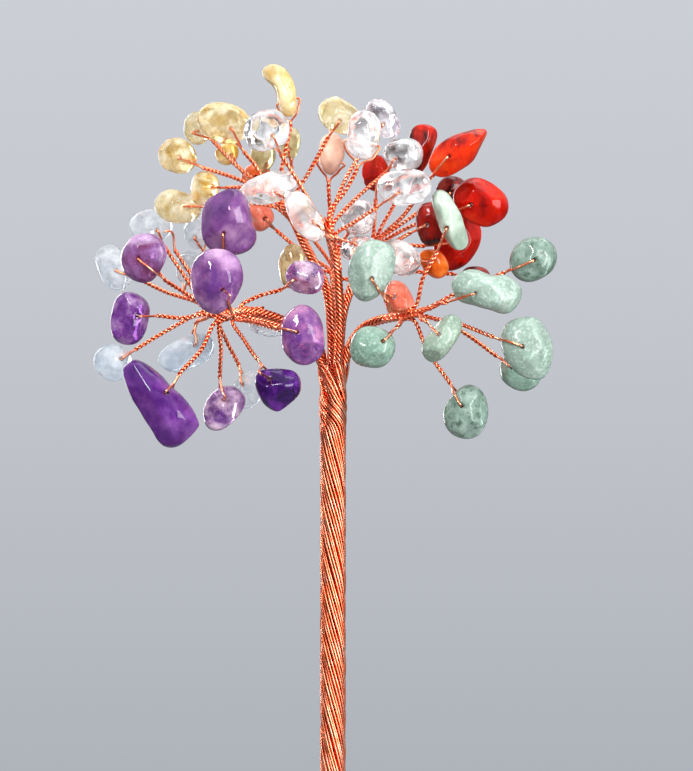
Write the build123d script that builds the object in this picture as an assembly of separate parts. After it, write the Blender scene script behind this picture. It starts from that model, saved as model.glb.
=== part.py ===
from build123d import *

import os
from math import cos, pi, radians, sin, tan
from typing import NamedTuple

os.makedirs("parts", exist_ok=True)

# A small tree of twisted copper wire on a stone slab, with sixty tumbled stone chips.
# Every chip hangs in a loop of its own wire. The wire comes back down beside itself as a
# twisted stem, the stems of one colour gather in a rope, and seven ropes make the trunk.
# Millimetres, +Z up, the front looks along -Y, the origin is under the slab on the trunk's axis.

# Slab under the tree
slab_length = 68.0
slab_width = 58.0
slab_height = 12.0
socket_depth = 5.0
slab_draw_share = 0.95
slab_outline_shares = [
    (-1.00, -0.22), (-0.78, -0.80), (-0.15, -1.02), (0.42, -0.90), (0.95, -0.55),
    (1.03, 0.10), (0.72, 0.72), (0.20, 0.96), (-0.40, 0.92), (-0.90, 0.52),
]

# Trunk: one strand in the middle and six laid round it, left-handed
split_height = 115.0
strand_diameter = 1.64
strand_gap = 0.10
lay_pitch = 45.0
lay_turns = 2
strand_lead = 3.0
root_reach = 24.0
root_turn = 20

# Wires, ropes and what lies between them
rope_diameter = 2.0
stem_diameter = 1.05
wire_diameter = 0.45
bore_diameter = 1.0
foot_spacing = 0.9
foot_share = 0.5
stem_lead_share = 0.25
loop_reach = 1.1
loop_tail = 0.6
bore_bend = 0.8
seat_gap = 0.12
pair_gap = 0.04
loop_gap = 0.30
hinge_gap = 0.35
corner_share = 0.45

# Crown: what the shares in the tables below follow
branch_reach = 20.0
stem_reach = 20.0
largest_chip = 20.0
view_distance = 900.0

# Outlines of tumbled chips, in shares of half their length and half their width
outline_shares = {
    "pebble": [(-1.05, -0.15), (-0.60, -0.95), (0.40, -1.05), (1.05, -0.35), (0.88, 0.65),
               (0.10, 1.08), (-0.75, 0.80)],
    "egg": [(-1.08, -0.10), (-0.62, -0.78), (0.25, -1.08), (1.02, -0.62), (1.02, 0.55),
            (0.30, 1.08), (-0.65, 0.80)],
    "oval": [(-1.08, -0.25), (-0.62, -0.98), (0.40, -1.06), (1.00, -0.55), (1.08, 0.30),
             (0.55, 0.98), (-0.45, 1.06), (-1.00, 0.50)],
    "block": [(-1.05, -0.60), (-0.45, -1.05), (0.70, -0.95), (1.08, -0.15), (0.85, 0.90),
              (-0.30, 1.05), (-1.05, 0.55)],
    "wedge": [(-1.05, -0.42), (-0.70, -0.62), (0.62, -1.06), (1.06, -0.66), (0.98, 0.62),
              (0.55, 1.05), (-0.85, 0.50)],
    "leaf": [(-1.02, -0.35), (-0.70, -0.98), (0.15, -1.05), (1.10, -0.12), (1.12, 0.20),
             (0.10, 0.98), (-0.90, 0.60)],
    "drop": [(-0.88, -0.55), (-0.10, -1.10), (0.20, -1.08), (0.95, -0.20), (0.90, 0.75),
             (0.10, 0.90), (-1.02, 0.85)],
    "slab": [(-1.06, -0.35), (-0.72, -0.98), (0.55, -1.00), (1.05, -0.40), (1.02, 0.62),
             (0.45, 1.04), (-0.80, 0.98)],
    "keel": [(-1.08, -0.25), (-0.92, -0.80), (0.72, -0.92), (0.98, -0.50), (0.92, 0.50),
             (0.72, 1.02), (-0.31, 0.62), (-1.00, 0.12)],
    "boot": [(-1.04, -0.10), (-0.85, -0.72), (-0.35, -1.04), (0.20, -0.68), (0.88, -0.52),
             (1.05, 0.08), (0.66, 1.02), (-0.30, 1.04), (-0.92, 0.64)],
    "saddle": [(-1.05, -0.10), (-0.75, -0.78), (0.10, -0.86), (0.70, -1.05), (1.04, -0.50),
               (1.05, 0.50), (0.60, 1.02), (0.10, 0.76), (-0.50, 1.02), (-0.95, 0.52)],
    "bean": [(-1.05, -0.50), (-0.30, -1.04), (0.60, -0.82), (1.06, 0.00), (0.98, 0.92),
             (0.62, 1.02), (0.05, 0.30), (-0.60, 0.52), (-1.02, 0.30)],
}

# How a chip fills out from its first face to its last: height and width at five levels
level_shares = [(-1.0, 0.46), (-0.60, 0.86), (0.05, 1.0), (0.66, 0.84), (1.0, 0.44)]


class Chip(NamedTuple):
    """One chip: its place from the hub, its size and how it is held.

    right, back and up are shares of stem_reach; long, wide and thick of largest_chip.
    turn is the angle of its length seen from the front, lean turns its face to the right.
    hole_share is how far the hole lies from the middle towards the edge beside the stem.
    swing is how far it can turn either way on the loop, and zero where the loop is tight.
    """

    right_share: float
    back_share: float
    up_share: float
    long_share: float
    wide_share: float
    thick_share: float
    turn: float
    outline: str
    lean: float = 0
    hole_share: float = 0.35
    across: bool = False
    swing: float = 0


class Branch(NamedTuple):
    """One colour: its strand in the trunk, its rope's route to the hub, and its chips.

    strand_angle is where the strand leaves the lay, None for the middle strand.
    The route's places are shares of branch_reach from the split: right, back and up.
    hinge_share is where the rope can bend, as a share of its first run.
    """

    stone: str
    strand_angle: float
    root_share: float
    hinge_share: float
    route_shares: list
    chips: list


branches = [
    Branch("amethyst", 255, 1.00, 0.45, [
        (-0.28, -0.30, 0.45), (-0.48, -0.50, 0.55), (-0.81, -0.62, 0.64), (-1.30, -0.60, 0.58),
    ], [
        Chip(-0.73, -0.20, 0.01, 0.50, 0.38, 0.38, 80, "block", 15, 0.20),
        Chip(-0.59, -0.25, 0.61, 0.50, 0.46, 0.40, 60, "pebble", -20, 0.10),
        Chip(-0.41, -0.30, -0.85, 0.98, 0.52, 0.45, -60, "keel", -5, 0.45, False, 6),
        Chip(0.19, 0.20, -0.92, 0.50, 0.36, 0.37, 52, "egg", 10, 0.40, False, 15),
        Chip(0.13, -0.85, 0.37, 0.64, 0.52, 0.45, 85, "egg", 8),
        Chip(0.27, -0.32, 0.96, 0.66, 0.58, 0.43, 85, "boot", -12),
        Chip(0.76, -0.40, -0.70, 0.47, 0.42, 0.38, 0, "drop", -8, 0.40, False, 20),
        Chip(0.99, -0.35, -0.17, 0.58, 0.42, 0.40, 100, "oval", 12),
        Chip(1.03, 0.10, 0.41, 0.38, 0.33, 0.33, -15, "block", -15),
    ]),
    Branch("aquamarine", 195, 0.92, 0.50, [
        (-0.15, 0.12, 0.30), (-0.43, 0.40, 0.45), (-0.98, 0.75, 0.61), (-1.41, 0.95, 0.74),
    ], [
        Chip(-0.79, -0.15, 0.35, 0.48, 0.33, 0.35, 115, "block", -15),
        Chip(-0.41, 0.05, 0.77, 0.42, 0.32, 0.35, 10, "oval", 10),
        Chip(-0.04, 0.60, 0.35, 0.34, 0.26, 0.30, 80, "pebble", 25),
        Chip(-0.79, -0.15, -0.60, 0.42, 0.36, 0.35, -30, "pebble", 12, 0.35, False, 15),
        Chip(0.05, 0.25, 0.71, 0.38, 0.28, 0.32, 90, "egg", -18),
        Chip(-0.05, 0.35, -0.51, 0.62, 0.32, 0.34, 22, "oval", 20),
        Chip(0.55, 0.15, -0.89, 0.42, 0.32, 0.32, 60, "egg", -10),
        Chip(0.75, 0.05, -0.22, 0.36, 0.24, 0.28, -15, "slab", 0),
    ]),
    Branch("citrine", None, 0, 0.70, [
        (-0.06, 0.03, 0.85), (-0.21, 0.10, 1.17), (-0.31, 0.15, 1.37), (-0.41, 0.18, 1.58),
        (-0.75, 0.25, 2.00),
    ], [
        Chip(-0.60, 0.35, 0.48, 0.34, 0.30, 0.30, 60, "pebble", -20),
        Chip(-0.35, -0.15, 0.54, 0.54, 0.43, 0.38, -15, "egg", 10, 0.30, False, 12),
        Chip(-0.54, -0.30, -0.12, 0.34, 0.28, 0.32, 75, "block", 15),
        Chip(-0.31, 0.50, 0.23, 0.26, 0.22, 0.28, 40, "pebble", 10),
        Chip(-0.80, -0.35, 0.20, 0.40, 0.35, 0.34, -20, "pebble", -10, 0.25, False, 15),
        Chip(0.23, -0.15, 0.87, 0.54, 0.28, 0.30, 105, "bean", 0, 0.45, True, 10),
        Chip(0.05, 0.40, 0.18, 0.32, 0.25, 0.28, 90, "egg", 20),
        Chip(-0.80, 0.08, -0.31, 0.45, 0.32, 0.33, -8, "oval", -12),
        Chip(0.33, 0.25, 0.33, 0.32, 0.18, 0.26, 80, "slab", -10),
        Chip(0.82, -0.05, 0.60, 0.46, 0.33, 0.34, -20, "oval", 10),
    ]),
    Branch("quartz", 315, 0.96, 0.60, [
        (0.07, -0.17, 0.57), (0.05, -0.25, 0.95), (0.02, -0.32, 1.18), (-0.11, -0.45, 1.68),
    ], [
        Chip(-0.56, -0.05, 0.78, 0.46, 0.40, 0.34, 20, "block", 10),
        Chip(0.41, 0.15, 0.73, 0.48, 0.34, 0.40, 80, "block", 0, 0.30, True, 10),
        Chip(-0.52, 0.18, 0.20, 0.56, 0.30, 0.30, 16, "oval", -10),
        Chip(0.61, 0.58, 0.89, 0.44, 0.26, 0.32, 120, "slab", 15),
        Chip(0.80, 0.35, 0.54, 0.42, 0.33, 0.34, -10, "egg", -8, 0.40, False, 12),
        Chip(-0.17, -0.50, -0.09, 0.54, 0.28, 0.32, -60, "slab", 0),
        Chip(0.82, -0.20, 0.20, 0.52, 0.36, 0.34, 3, "oval", 8),
        Chip(0.37, -0.15, -0.40, 0.36, 0.24, 0.32, 8, "oval", 12),
        Chip(0.36, 0.50, -0.10, 0.38, 0.34, 0.34, 80, "pebble", -10),
        Chip(0.77, 0.20, -0.49, 0.46, 0.34, 0.32, -30, "pebble", 0),
    ]),
    Branch("jasper", 75, 1.04, 0.60, [
        (0.10, 0.15, 0.63), (0.19, 0.25, 0.90), (0.30, 0.38, 1.11), (0.49, 0.50, 1.51),
    ], [
        Chip(0.38, -0.20, 0.76, 0.50, 0.28, 0.34, 75, "wedge", 10),
        Chip(0.70, 0.25, 0.35, 0.34, 0.28, 0.32, -20, "pebble", 12),
        Chip(-0.05, -0.20, 0.51, 0.38, 0.28, 0.33, 100, "pebble", 0),
        Chip(0.75, -0.60, 0.74, 0.68, 0.38, 0.38, 33, "leaf", -8, 0.25, False, 12),
        Chip(0.98, -0.30, 0.23, 0.54, 0.45, 0.40, -20, "oval", -5),
        Chip(0.74, 0.15, -0.18, 0.62, 0.48, 0.40, 65, "egg", 10),
        Chip(0.50, -0.55, 0.02, 0.44, 0.30, 0.36, 95, "block", 0),
        Chip(0.51, -0.38, -0.38, 0.34, 0.26, 0.30, -45, "egg", 0),
        Chip(0.93, -0.05, -0.53, 0.32, 0.24, 0.28, -10, "pebble", 8),
    ]),
    Branch("aventurine", 15, 0.98, 0.50, [
        (0.17, -0.08, 0.30), (0.33, -0.20, 0.50), (0.66, -0.40, 0.60), (1.07, -0.55, 0.68),
    ], [
        Chip(0.46, -0.40, 0.17, 0.68, 0.40, 0.40, -10, "saddle", 0),
        Chip(0.93, 0.15, 0.49, 0.52, 0.44, 0.40, 40, "pebble", 12, 0.15, False, 15),
        Chip(0.89, -0.40, -0.43, 0.64, 0.50, 0.42, 110, "egg", 10),
        Chip(0.81, 0.25, -0.63, 0.44, 0.38, 0.35, -20, "pebble", -12),
        Chip(0.02, -0.50, -0.31, 0.50, 0.26, 0.34, 50, "slab", 0),
        Chip(0.10, 0.10, 0.88, 0.64, 0.24, 0.34, 114, "slab", 0),
        Chip(0.27, -0.20, -1.02, 0.54, 0.44, 0.40, 255, "egg", -10, 0.20, False, 20),
        Chip(-0.69, -0.80, 0.37, 0.62, 0.44, 0.40, 70, "egg", -10),
        Chip(-0.67, -0.30, -0.39, 0.47, 0.41, 0.40, -5, "pebble", 10, 0.35, False, 15),
    ]),
    Branch("peach", 135, 0.94, 0.50, [
        (0.01, 0.25, 0.50), (0.02, 0.45, 0.85), (0.04, 0.70, 1.13),
    ], [
        Chip(-0.82, 0.35, 0.89, 0.30, 0.22, 0.28, 20, "pebble", -10),
        Chip(-0.06, -0.20, 1.09, 0.42, 0.26, 0.32, 85, "egg", 0, 0.35, True, 10),
        Chip(-0.79, 0.15, 0.48, 0.34, 0.28, 0.33, -45, "block", 10),
        Chip(-0.45, -0.30, -0.02, 0.44, 0.26, 0.32, 85, "oval", 12),
        Chip(0.62, -0.18, -0.36, 0.43, 0.30, 0.34, -70, "egg", 0),
    ]),
]

# Sizes worked out from the ones above
lay_radius = strand_diameter + strand_gap
lay_length = lay_pitch * lay_turns
lay_top = split_height - strand_lead
lay_bottom = lay_top - lay_length
lay_slope = 2 * pi * lay_radius / lay_pitch
root_level = slab_height + seat_gap + strand_diameter / 2


def place(hub_shares, chip_shares=(0, 0, 0)):
    """A place from its shares, which were read straight from the front, as the eye sees it."""
    right, back, up = [
        hub * branch_reach + chip * stem_reach for hub, chip in zip(hub_shares, chip_shares)
    ]
    spread = 1 + back / view_distance
    return Vector(right * spread, back, split_height + up * spread)


def corner_radii(points, closed):
    """For each corner, the largest radius that its two runs have room for."""
    count = len(points)
    corners = range(count) if closed else range(1, count - 1)
    radii = []
    for corner in corners:
        before = points[corner] - points[corner - 1]
        after = points[(corner + 1) % count] - points[corner]
        half_turn = radians(before.get_angle(after)) / 2
        radii.append(corner_share * min(before.length, after.length) / tan(half_turn))
    return radii


def smooth_path(points):
    """Straight runs through the points, joined by arcs as large as the runs allow."""
    if len(points) == 2:
        return Line(*points)
    return FilletPolyline(*points, radius=corner_radii(points, False))


def tube(path, diameter):
    """A round bar along a path."""
    start = Plane(origin=path @ 0, z_dir=path % 0)
    return sweep(start * Circle(diameter / 2), path=path)


def rounded_face(shares, half_length, half_width):
    """A closed outline with well rounded corners."""
    points = [Vector(x * half_length, y * half_width, 0) for x, y in shares]
    return make_face(FilletPolyline(*points, radius=corner_radii(points, True), close=True))


# Slab: an irregular slice of stone with a socket for the middle strand
def slab():
    levels = [(0, slab_draw_share), (slab_height / 2, 1), (slab_height, slab_draw_share)]
    faces = [
        Pos(0, 0, height)
        * rounded_face(slab_outline_shares, width * slab_length / 2, width * slab_width / 2)
        for height, width in levels
    ]
    socket_radius = strand_diameter / 2 + seat_gap
    socket = Pos(0, 0, slab_height - socket_depth / 2) * Cylinder(socket_radius, socket_depth)
    return loft(faces) - socket


# Trunk: each strand runs from its root tip through the lay to the place where its rope bends
def lay_direction(angle):
    return Vector(lay_slope * sin(angle), -lay_slope * cos(angle), 1).normalized()


def strand_path(branch):
    knee, hinge_end, _ = hinge(branch)
    if branch.strand_angle is None:
        foot = Vector(0, 0, slab_height - socket_depth + seat_gap)
        return smooth_path([foot, knee, hinge_end])
    angle = radians(branch.strand_angle)
    lay = Rot(0, 0, branch.strand_angle) * Helix(lay_pitch, lay_length, lay_radius, lefthand=True)
    lay = Pos(0, 0, lay_bottom) * lay
    slope = lay_direction(angle)
    ankle = lay @ 0 - slope * (lay_bottom - root_level) / slope.Z
    tip_angle = angle + radians(root_turn)
    tip = Vector(cos(tip_angle), sin(tip_angle), 0) * (root_reach * branch.root_share)
    tip = tip + Vector(0, 0, root_level)
    root = smooth_path([tip, ankle, lay @ 0])
    top = smooth_path([lay @ 1, knee, hinge_end])
    return Wire([*root.edges(), *lay.edges(), *top.edges()])


# Hinge: the place where the soft rope bends, with a hair of room on each side
def hinge(branch):
    """The knee that the strand turns at, its end, and the start of the rope."""
    if branch.strand_angle is None:
        knee = Vector(0, 0, split_height)
    else:
        angle = radians(branch.strand_angle)
        start = Vector(lay_radius * cos(angle), lay_radius * sin(angle), lay_top)
        knee = start + lay_direction(angle) * strand_lead
    run = place(branch.route_shares[0]) - knee
    middle = knee + run * branch.hinge_share
    half_gap = run.normalized() * (hinge_gap / 2)
    return knee, middle - half_gap, middle + half_gap


def rope_points(branch):
    return [hinge(branch)[2]] + [place(shares) for shares in branch.route_shares]


# Chips
def chip_frame(branch, chip):
    """The chip's own plane: X along its length, Z out of its face towards the front."""
    here = place(branch.route_shares[-1], (chip.right_share, chip.back_share, chip.up_share))
    lean = radians(chip.lean)
    face = Vector(sin(lean), -cos(lean), 0)
    side = Vector(cos(lean), sin(lean), 0)
    turn = radians(chip.turn)
    return Plane(origin=here, x_dir=side * cos(turn) + Vector(0, 0, sin(turn)), z_dir=face)


def chip_sizes(chip):
    """Half the length, half the width and half the thickness."""
    shares = (chip.long_share, chip.wide_share, chip.thick_share)
    return [share * largest_chip / 2 for share in shares]


def bore_line(branch, chip, foot):
    """The hole's middle, its direction, the way to the stem, and the edge's distance that way."""
    frame = chip_frame(branch, chip)
    half_length, half_width, half_thickness = chip_sizes(chip)
    along = frame.y_dir if chip.across else frame.z_dir
    way = foot - frame.origin
    way = (way - along * way.dot(along)).normalized()
    if chip.across:
        corners = [(x * half_length, 0, z * half_thickness) for x in (-1, 1) for z in (-1, 1)]
        corners = [(x, 0, z * level_shares[1][1]) for x, _, z in corners]
    else:
        corners = [(x * half_length, y * half_width, 0) for x, y in outline_shares[chip.outline]]
    corners = [frame.from_local_coords(Vector(*corner)) for corner in corners]
    reach = max((corner - frame.origin).dot(way) for corner in corners)
    middle = frame.origin + way * (reach * chip.hole_share)
    edge = 0
    for swing in (-chip.swing, 0, chip.swing):
        swung = way.rotate(Axis((0, 0, 0), along), swing)
        edge = max([edge] + [(corner - middle).dot(swung) for corner in corners])
    return middle, along, way, edge


def chip_solid(branch, chip, foot):
    """A tumbled chip: five sections of one outline, drilled through."""
    frame = chip_frame(branch, chip)
    half_length, half_width, half_thickness = chip_sizes(chip)
    faces = [
        frame * Pos(0, 0, height * half_thickness)
        * rounded_face(outline_shares[chip.outline], width * half_length, width * half_width)
        for height, width in level_shares
    ]
    middle, along, _, _ = bore_line(branch, chip, foot)
    bore = Plane(origin=middle, z_dir=along) * Cylinder(bore_diameter / 2, largest_chip)
    return loft(faces) - bore


# Stems: two legs round the chip, in one hole, and twisted together from there to the hub
def stem_feet(branch):
    """Where the stems stand, one after another down the rope's side from its end."""
    points = rope_points(branch)
    ahead = (points[-1] - points[-2]).normalized()
    feet = []
    for rank, chip in enumerate(branch.chips):
        on_axis = points[-1] - ahead * (foot_spacing * (rank + 0.5))
        aim = (chip_frame(branch, chip).origin - on_axis).normalized()
        outward = (aim - ahead * aim.dot(ahead)).normalized()
        lean = max(abs(aim.dot(ahead)), foot_share)
        clear = rope_diameter / 2 + seat_gap + stem_diameter / 2 * lean
        feet.append(on_axis + outward * clear)
    return feet


def loop_path(branch, chip, foot):
    """The single wire: from the twist round one side, through the hole and back."""
    middle, along, way, edge = bore_line(branch, chip, foot)
    _, half_width, half_thickness = chip_sizes(chip)
    half_depth = half_width if chip.across else half_thickness
    height = half_depth + loop_gap + wire_diameter / 2
    twist = edge + loop_reach
    cheek = edge * level_shares[1][1]
    pair = (wire_diameter + pair_gap) / 2
    profile = [(twist + loop_tail, pair), (twist, pair), (cheek, height), (0, height)]
    profile += [(out, -rise) for out, rise in reversed(profile)]
    points = [middle + way * out + along * rise for out, rise in profile]
    radii = corner_radii(points, False)
    radii[2] = bore_bend
    radii[3] = bore_bend
    return FilletPolyline(*points, radius=radii)


def stem_solid(branch, chip, foot):
    middle, _, way, edge = bore_line(branch, chip, foot)
    end = middle + way * (edge + loop_reach)
    lead = (end - foot).length * stem_lead_share
    twist = smooth_path([foot, end + way * lead, end])
    return tube(twist, stem_diameter) + tube(loop_path(branch, chip, foot), wire_diameter)


def write(name, solids):
    shape = solids[0] if len(solids) == 1 else Compound(children=solids)
    export_step(shape, f"parts/{name}.step")


if __name__ == "__main__":
    write("slab", [slab()])
    for branch in branches:
        write(f"strand_{branch.stone}", [tube(strand_path(branch), strand_diameter)])
        write(f"rope_{branch.stone}", [tube(smooth_path(rope_points(branch)), rope_diameter)])
        feet = stem_feet(branch)
        held = list(zip(branch.chips, feet))
        write(f"stems_{branch.stone}", [stem_solid(branch, chip, foot) for chip, foot in held])
        tight = [chip_solid(branch, chip, foot) for chip, foot in held if not chip.swing]
        write(f"chips_{branch.stone}", tight)
        for number, (chip, foot) in enumerate(held, start=1):
            if chip.swing:
                write(f"chip_{branch.stone}_{number}", [chip_solid(branch, chip, foot)])
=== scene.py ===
from collections import namedtuple
from math import atan2, ceil, copysign, cos, pi, radians, sin

import bmesh
import bpy
import numpy as np
from mathutils import Matrix, Vector, noise
from mathutils.bvhtree import BVHTree
from numpy.linalg import norm


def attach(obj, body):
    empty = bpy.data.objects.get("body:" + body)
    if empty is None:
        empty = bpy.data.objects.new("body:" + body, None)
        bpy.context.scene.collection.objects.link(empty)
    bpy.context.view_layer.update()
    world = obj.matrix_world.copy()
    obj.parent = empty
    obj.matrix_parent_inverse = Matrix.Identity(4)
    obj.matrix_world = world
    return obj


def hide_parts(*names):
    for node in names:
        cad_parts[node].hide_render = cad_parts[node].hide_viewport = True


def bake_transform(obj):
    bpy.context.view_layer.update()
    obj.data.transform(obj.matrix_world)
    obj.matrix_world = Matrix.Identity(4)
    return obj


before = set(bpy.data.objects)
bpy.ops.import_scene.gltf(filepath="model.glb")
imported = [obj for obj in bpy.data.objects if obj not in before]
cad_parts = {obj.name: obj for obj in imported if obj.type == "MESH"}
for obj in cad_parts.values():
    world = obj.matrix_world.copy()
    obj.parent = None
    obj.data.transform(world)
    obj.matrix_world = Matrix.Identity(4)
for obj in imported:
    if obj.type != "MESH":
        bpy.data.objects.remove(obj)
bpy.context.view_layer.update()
scene = bpy.context.scene

# A wire tree: copper trunk, seven ropes, sixty tumbled chips on twisted stems.
# Sizes are in millimetres here and become metres where a mesh is made.
MM = 0.001

# Slab
slab_length = 68.0
slab_width = 58.0
slab_height = 12.0
slab_outline_shares = [
    (-1.00, -0.22), (-0.78, -0.80), (-0.15, -1.02), (0.42, -0.90), (0.95, -0.55),
    (1.03, 0.10), (0.72, 0.72), (0.20, 0.96), (-0.40, 0.92), (-0.90, 0.52),
]
slab_levels = [(0, 0.94), (0.5, 0.95), (6, 0.985), (11.3, 0.945), (12, 0.92)]
slab_edge_step = 1.6
slab_grain = 0.8
slab_flat_height = 0.4
slab_smooth_reach = 6
slab_pit_depth = 0.36
slab_pit_scale = 0.16

# Trunk
split_height = 115.0
strand_diameter = 1.64
strand_gap = 0.10
lay_pitch = 45.0
lay_length = 90.0
strand_lead = 3.0
root_reach = 24.0
root_turn = 20
root_fan = 0.9
root_lift = 0.3
root_sway = 0.12
lay_radius = strand_diameter + strand_gap
lay_top = split_height - strand_lead
lay_bottom = lay_top - lay_length
lay_slope = 2 * pi * lay_radius / lay_pitch
trunk_rings = [(2.30, 4), (1.86, 4), (1.40, 3)]
trunk_group_share = 0.92
trunk_step = 1.5
core_wires = 10
core_radius = 0.80
core_depth = 4.6
wrap_height = 7.0
wrap_turn = radians(75)
wrap_swell = 0.12
swell_drop = 3
wander_angle = 0.06
wander_knots = [45, 80]
ripple_depth = 0.07

# Ropes
laid_diameter = 0.46
laid_radius = laid_diameter / 2
laid_unevenness = 0.14
laid_step = 0.5
rope_diameter = 2.0
rope_pitch = 5.3
rope_outer_wires = 6
rope_core_radius = 0.22
rope_ring = (rope_diameter - laid_diameter) / 2
rope_thinning = 7.5
rope_thinnest = 0.30
rope_start = 2.5
rope_end_fade = 2.0
foot_spacing = 0.9
foot_share = 0.5

# Stems and loops
wire_diameter = 0.47
wire_radius = wire_diameter / 2
wire_sides = 8
wire_step = 0.16
stem_diameter = 1.05
stem_starts = [(4.5, 0.45), (1.6, 0.85)]
stem_straight = 0.6
stem_sway = 0.06
stem_bow = 0.04
stem_sag = 0.03
stem_unevenness = 0.08
bore_radius = 0.5
twist_pitch = 1.85
seat_gap = 0.12
loop_reach = 1.1
wire_clearance = 0.10
wire_ease = 0.08
ease_rounds = 4
ease_window = 3
ease_fade = 2
swing_shares = (-1, -0.5, 0, 0.5, 1)
edge_search = (0.4, 0.8, 0.1)
profile_shares = (0.80, 0.55)
shoulder_size = 0.45
shoulder_share = 0.45
mouth_edge = 0.75
mouth_reach = 0.36
over_mouth = (0.42, 0.05)
inside_mouth = (0.05, -0.15)
deep_share = 0.4
# Depth under the bundle's outside, as a share of a wire's diameter, where the painted shade
# between the wires is full
painted_shade_share = 0.62
hook_shares = [
    (-0.28, 0.10, 0.68), (-0.29, 0.10, 0.76), (-0.30, 0.10, 0.84), (-0.34, 0.08, 0.87),
    (-0.385, 0.06, 0.86),
]
hook_lead = 2
hook_bow = 0.5

# Stones
stone_grain = 0.24
stone_step = 0.20
worn_flats = 9
open_share = 0.84
ground_share = 0.9
dent_scale = 260
dent_depth = 0.30
dent_fill = 0.10
tumbling_rounds = 9
crisp_rounds = 4
crisp_looks = ("red", "red streaked", "red and black", "maroon mottled")

# Crown
branch_reach = 20.0
stem_reach = 20.0
largest_chip = 20.0
view_distance = 900.0

outline_shares = {
    "pebble": [(-1.05, -0.15), (-0.6, -0.95), (0.4, -1.05), (1.05, -0.35), (0.88, 0.65),
               (0.1, 1.08), (-0.75, 0.8)],
    "egg": [(-1.08, -0.1), (-0.62, -0.78), (0.25, -1.08), (1.02, -0.62), (1.02, 0.55),
            (0.3, 1.08), (-0.65, 0.8)],
    "oval": [(-1.08, -0.25), (-0.62, -0.98), (0.4, -1.06), (1.0, -0.55), (1.08, 0.3),
             (0.55, 0.98), (-0.45, 1.06), (-1.0, 0.5)],
    "block": [(-1.05, -0.6), (-0.45, -1.05), (0.7, -0.95), (1.08, -0.15), (0.85, 0.9),
              (-0.3, 1.05), (-1.05, 0.55)],
    "wedge": [(-1.05, -0.42), (-0.7, -0.62), (0.62, -1.06), (1.06, -0.66), (0.98, 0.62),
              (0.55, 1.05), (-0.85, 0.5)],
    "leaf": [(-1.02, -0.35), (-0.7, -0.98), (0.15, -1.05), (1.1, -0.12), (1.12, 0.2),
             (0.1, 0.98), (-0.9, 0.6)],
    "drop": [(-0.88, -0.55), (-0.1, -1.1), (0.2, -1.08), (0.95, -0.2), (0.9, 0.75),
             (0.1, 0.9), (-1.02, 0.85)],
    "slab": [(-1.06, -0.35), (-0.72, -0.98), (0.55, -1.0), (1.05, -0.4), (1.02, 0.62),
             (0.45, 1.04), (-0.8, 0.98)],
    "keel": [(-1.08, -0.25), (-0.92, -0.8), (0.72, -0.92), (0.98, -0.5), (0.92, 0.5),
             (0.72, 1.02), (-0.31, 0.62), (-1.0, 0.12)],
    "boot": [(-1.04, -0.1), (-0.85, -0.72), (-0.35, -1.04), (0.2, -0.68), (0.88, -0.52),
             (1.05, 0.08), (0.66, 1.02), (-0.3, 1.04), (-0.92, 0.64)],
    "saddle": [(-1.05, -0.1), (-0.75, -0.78), (0.1, -0.86), (0.7, -1.05), (1.04, -0.5),
               (1.05, 0.5), (0.6, 1.02), (0.1, 0.76), (-0.5, 1.02), (-0.95, 0.52)],
    "bean": [(-1.05, -0.5), (-0.3, -1.04), (0.6, -0.82), (1.06, 0.0), (0.98, 0.92),
             (0.62, 1.02), (0.05, 0.3), (-0.6, 0.52), (-1.02, 0.3)],
}
level_shares = [(-1.0, 0.46), (-0.6, 0.86), (0.05, 1.0), (0.66, 0.84), (1.0, 0.44)]

# A chip's place from its hub, its size, how it is held and which finish it has
Chip = namedtuple("Chip", (
    "right_share back_share up_share long_share wide_share thick_share turn outline look"
    " lean hole_share across swing"), defaults=(0, 0.35, False, 0))
Branch = namedtuple(
    "Branch", "stone strand_angle root_share hinge_share route_shares chips")

amethyst = Branch("amethyst", 255, 1.0, 0.45, [
    (-0.28, -0.3, 0.45), (-0.48, -0.5, 0.55), (-0.81, -0.62, 0.64), (-1.3, -0.6, 0.58),
], [
    Chip(-0.73, -0.2, 0.01, 0.5, 0.38, 0.38, 80, "block", "violet dark edges", 15, 0.2),
    Chip(-0.59, -0.25, 0.61, 0.5, 0.46, 0.4, 60, "pebble", "lilac and wine", -20, 0.1),
    Chip(-0.41, -0.3, -0.85, 0.98, 0.52, 0.45, -60, "keel", "full violet", -5, 0.45, swing=6),
    Chip(0.19, 0.2, -0.92, 0.5, 0.36, 0.37, 52, "egg", "pale blotched", 10, 0.4, swing=15),
    Chip(0.13, -0.85, 0.37, 0.64, 0.52, 0.45, 85, "egg", "lilac facets", 8),
    Chip(0.27, -0.32, 0.96, 0.66, 0.58, 0.43, 85, "boot", "mauve to violet", -12),
    Chip(0.76, -0.4, -0.7, 0.47, 0.42, 0.38, 0, "drop", "near black purple", -8, 0.4, swing=20),
    Chip(0.99, -0.35, -0.17, 0.58, 0.42, 0.4, 100, "oval", "lilac and pink", 12),
    Chip(1.03, 0.1, 0.41, 0.38, 0.33, 0.33, -15, "block", "pale blotched", -15),
])
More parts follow.
